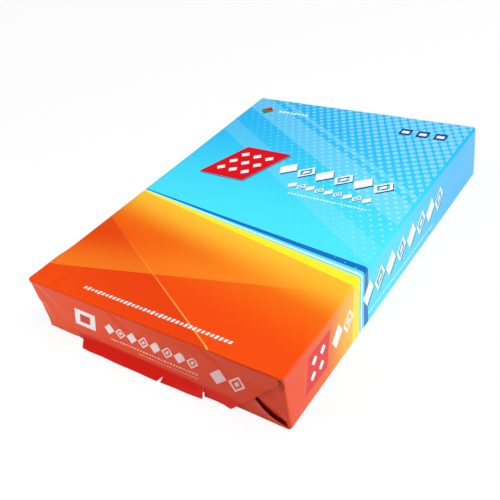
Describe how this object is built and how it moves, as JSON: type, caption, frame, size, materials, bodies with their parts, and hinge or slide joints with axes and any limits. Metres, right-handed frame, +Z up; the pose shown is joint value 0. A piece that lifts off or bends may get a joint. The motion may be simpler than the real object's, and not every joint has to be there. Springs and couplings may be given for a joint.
{
  "type": "ream of paper",
  "caption": "Sealed ream of copy paper in a glossy printed wrapper, folded shut at both ends, with the loose margin of one end flap kicked out on to the table.",
  "frame": {"origin": "centre of the face that the ream rests on, without the loose margin of the near end flap", "axes": "+Z up; +Y along the ream, from the end with the loose margin to the neatly folded end; +X across it, to the right when seen from the end with the loose margin"},
  "size_m": [0.212, 0.3079, 0.045],
  "materials": {
    "printed_wrapper": "gloss coated paper, printed blue over the far part and orange over the near part"
  },
  "bodies": {
    "root": {"wrapped_ream": "printed_wrapper"}
  },
  "joints": []
}
